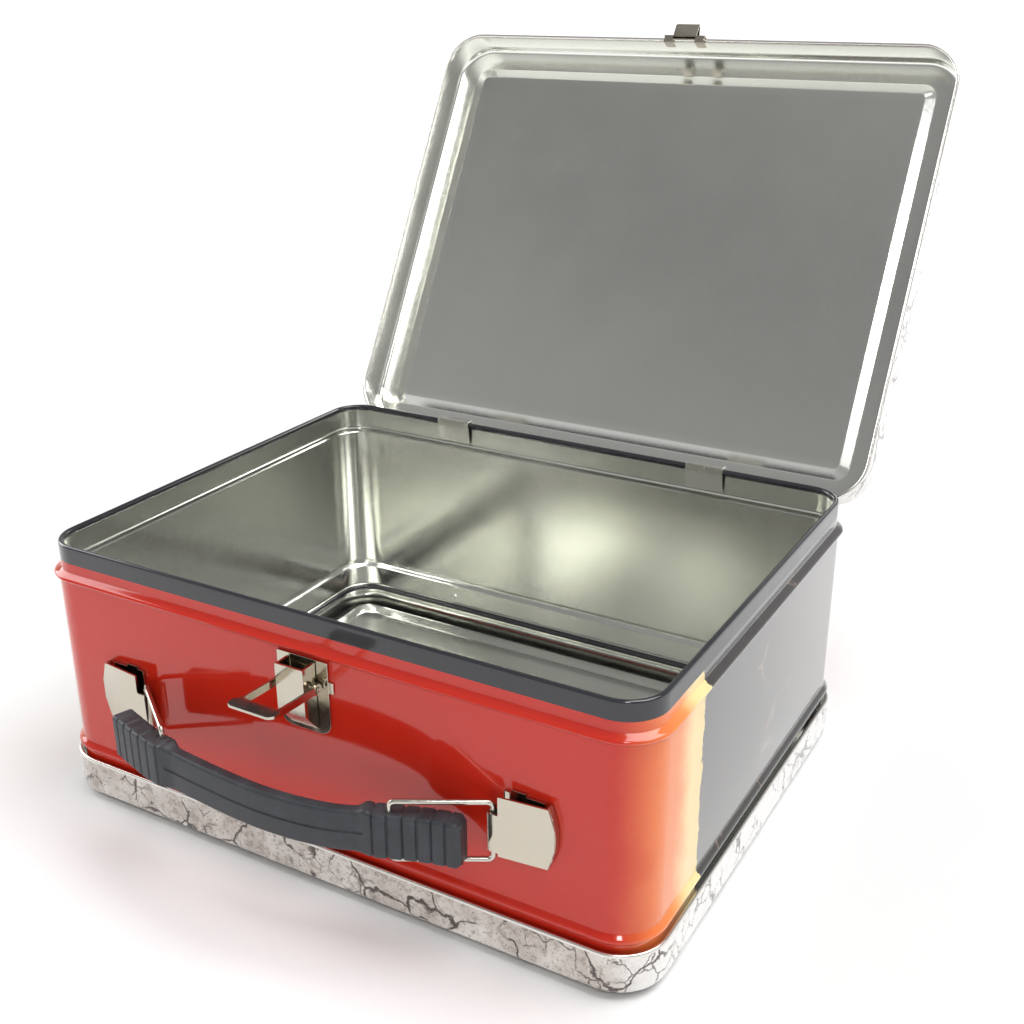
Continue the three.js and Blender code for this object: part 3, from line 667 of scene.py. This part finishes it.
def arch_points(count=400):
    """Points (x, y) along the grip's centre line, by Catmull-Rom, close together and evenly spaced."""
    knots = [Vector((x, -WALL_Y - out)) for x, out in GRIP_ARCH]
    spans = len(knots) - 1
    dense = []
    for step in range(count * 2 + 1):
        t = min(step / (count * 2) * spans, spans - 1e-6)
        f = t % 1
        a, b, c, d = (knots[min(max(int(t) + k, 0), spans)] for k in (-1, 0, 1, 2))
        dense.append(0.5 * (2 * b + (c - a) * f + (2 * a - 5 * b + 4 * c - d) * f ** 2
                            + (3 * b - a - 3 * c + d) * f ** 3))
    x, y = np.array(dense).T
    run = np.concatenate([[0], np.cumsum(np.hypot(np.diff(x), np.diff(y)))])
    even = np.linspace(0, run[-1], count + 1)
    return np.interp(even, run, x), np.interp(even, run, y)


def grip_section(half, low, high, ribbed):
    """(outward, z) points round the grip: flat sides, round edges and a shallow groove along the front."""
    edge = 1.15
    groove = 0.0 if ribbed else 0.35
    middle = low + 0.52 * (high - low)
    front = [(half, low + edge), (half, middle - 0.8), (half - groove, middle - 0.45),
             (half - groove, middle + 0.15), (half, middle + 0.5), (half, high - edge)]
    round_top = arc(half - edge, high - edge, edge, 15, 90, 4)
    round_top_back = arc(-half + edge, high - edge, edge, 90, 165, 4)
    back = [(-half, high - edge), (-half, low + edge)]
    round_low_back = arc(-half + edge, low + edge, edge, 195, 270, 4)
    round_low = arc(half - edge, low + edge, edge, 270, 345, 4)
    return [*front, *round_top, *round_top_back, *back, *round_low_back, *round_low]


def moulded_grip():
    low, high = GRIP_LOW.z, GRIP_HIGH.z
    length = GRIP_HIGH.x - GRIP_LOW.x
    ribbed = RIB_COUNT * RIB_PITCH
    line_x, line_y = arch_points()
    along_x, along_y = np.gradient(line_x), np.gradient(line_y)
    rings = []
    for i, (x, y) in enumerate(zip(line_x, line_y)):
        s = length * i / (len(line_x) - 1)
        out = Vector((along_y[i], -along_x[i])).normalized()
        end = min(s, length - s)
        thick = 1 - smoothstep(end, ribbed - 1, ribbed + 6)
        phase = (end / RIB_PITCH) % 1
        cut = max(0.0, 1 - min(phase, 1 - phase) * RIB_PITCH / RIB_CUT)
        rib = RIB_DEPTH * smoothstep(cut, 0, 1) if RIB_PITCH * 0.5 < end < ribbed + 1 else 0
        tip = 1 - TIP_TAPER * (1 - smoothstep(end, 0, 1.6))
        half = (GRIP_MID_HALF + (GRIP_END_HALF - GRIP_MID_HALF) * thick - rib) * tip
        shrink = 0.5 * rib + TIP_DROP * (1 - smoothstep(end, 0, 1.4)) + MIDDLE_DROP * (1 - thick)
        hump = GRIP_HUMP * math.exp(-((end - ribbed - 2.2) / 1.6) ** 2)
        section = grip_section(half, low + shrink, high - shrink + hump, thick > 0.5)
        rings.append([Vector((x + out.x * a, y + out.y * a, z)) for a, z in section])
    grip = stacked("grip_moulding", rings, ["grip"] * len(rings), ["grip"], closed=False)
    return settle(grip, "grip", "grip_plastic", "handle_grip")


# ---------------------------------------------------------------- studio

CAMERA_PLACE = Vector((216.33, -342.31, 262.80)) * MM
CAMERA_AHEAD = Vector((-0.45948, 0.80081, -0.38418))
CAMERA_RIGHT = Vector((0.86822, 0.49616, -0.00415))
LENS = 45.62
FLOOR_HALF = 30.0             # metres
FLOOR_GAP = 0.0002            # metres the floor lies below the box
SOFTBOXES = (                 # name, place and size in metres, power in watts
    ("overhead", (0.70, 0.2, 1.7), (1.1, 1.3), 26),
    ("left_window", (-1.7, -0.1, 0.9), (0.9, 1.3), 16),
    ("right_window", (0.75, -1.3, 1.7), (0.3, 0.5), 8),
)
AIM = Vector((0, 0, 0.08))    # the softboxes face this point
SKY = ((0.0, 1.05), (0.05, 1.0), (0.22, 0.50), (0.42, 0.38), (0.57, 0.31),   # (sine of height, brightness)
       (0.70, 0.23), (1.0, 0.40))


def add_to_scene(name, data):
    obj = bpy.data.objects.new(name, data)
    bpy.context.scene.collection.objects.link(obj)
    return obj


def studio_floor():
    mesh = bpy.data.meshes.new("floor")
    edit = bmesh.new()
    bmesh.ops.create_grid(edit, x_segments=8, y_segments=8, size=FLOOR_HALF)
    edit.to_mesh(mesh)
    edit.free()
    mesh.materials.append(floor_material())
    floor = add_to_scene("floor", mesh)
    floor.location.z = CAD_BOX[0][2] - FLOOR_GAP


def studio_camera():
    data = bpy.data.cameras.new("camera")
    data.sensor_width = 36
    data.lens = LENS
    data.clip_start = 0.01
    camera = add_to_scene("camera", data)
    ahead = CAMERA_AHEAD.normalized()
    right = (CAMERA_RIGHT - CAMERA_RIGHT.dot(ahead) * ahead).normalized()
    turn = Matrix((right, right.cross(ahead), -ahead)).transposed()
    camera.matrix_world = Matrix.Translation(CAMERA_PLACE) @ turn.to_4x4()
    bpy.context.scene.camera = camera


def softbox(name, place, size, power):
    data = bpy.data.lights.new(name, "AREA")
    data.shape = "RECTANGLE"
    data.size, data.size_y = size
    data.energy = power
    light = add_to_scene(name, data)
    light.location = place
    light.rotation_euler = (AIM - Vector(place)).to_track_quat("-Z", "Y").to_euler()


def studio_sky():
    """A soft surround, white at the horizon and darker above."""
    world = bpy.data.worlds.new("studio")
    bpy.context.scene.world = world
    world.use_nodes = True
    nodes, links = world.node_tree.nodes, world.node_tree.links
    coordinates = nodes.new("ShaderNodeTexCoord")
    split = nodes.new("ShaderNodeSeparateXYZ")
    ramp = nodes.new("ShaderNodeValToRGB")
    links.new(coordinates.outputs["Generated"], split.inputs[0])
    links.new(split.outputs["Z"], ramp.inputs["Fac"])
    links.new(ramp.outputs["Color"], nodes["Background"].inputs["Color"])
    stops = ramp.color_ramp.elements
    while len(stops) < len(SKY):
        stops.new(0.5)
    for stop, (place, level) in zip(stops, SKY):
        stop.position = place
        stop.color = (level, level, level, 1.0)


def studio():
    studio_floor()
    studio_camera()
    for light in SOFTBOXES:
        softbox(*light)
    studio_sky()
    bpy.context.scene.view_settings.view_transform = "Standard"


wall_band()
pans()
fittings()
wire_loop(1)
wire_loop(-1)
moulded_grip()
studio()
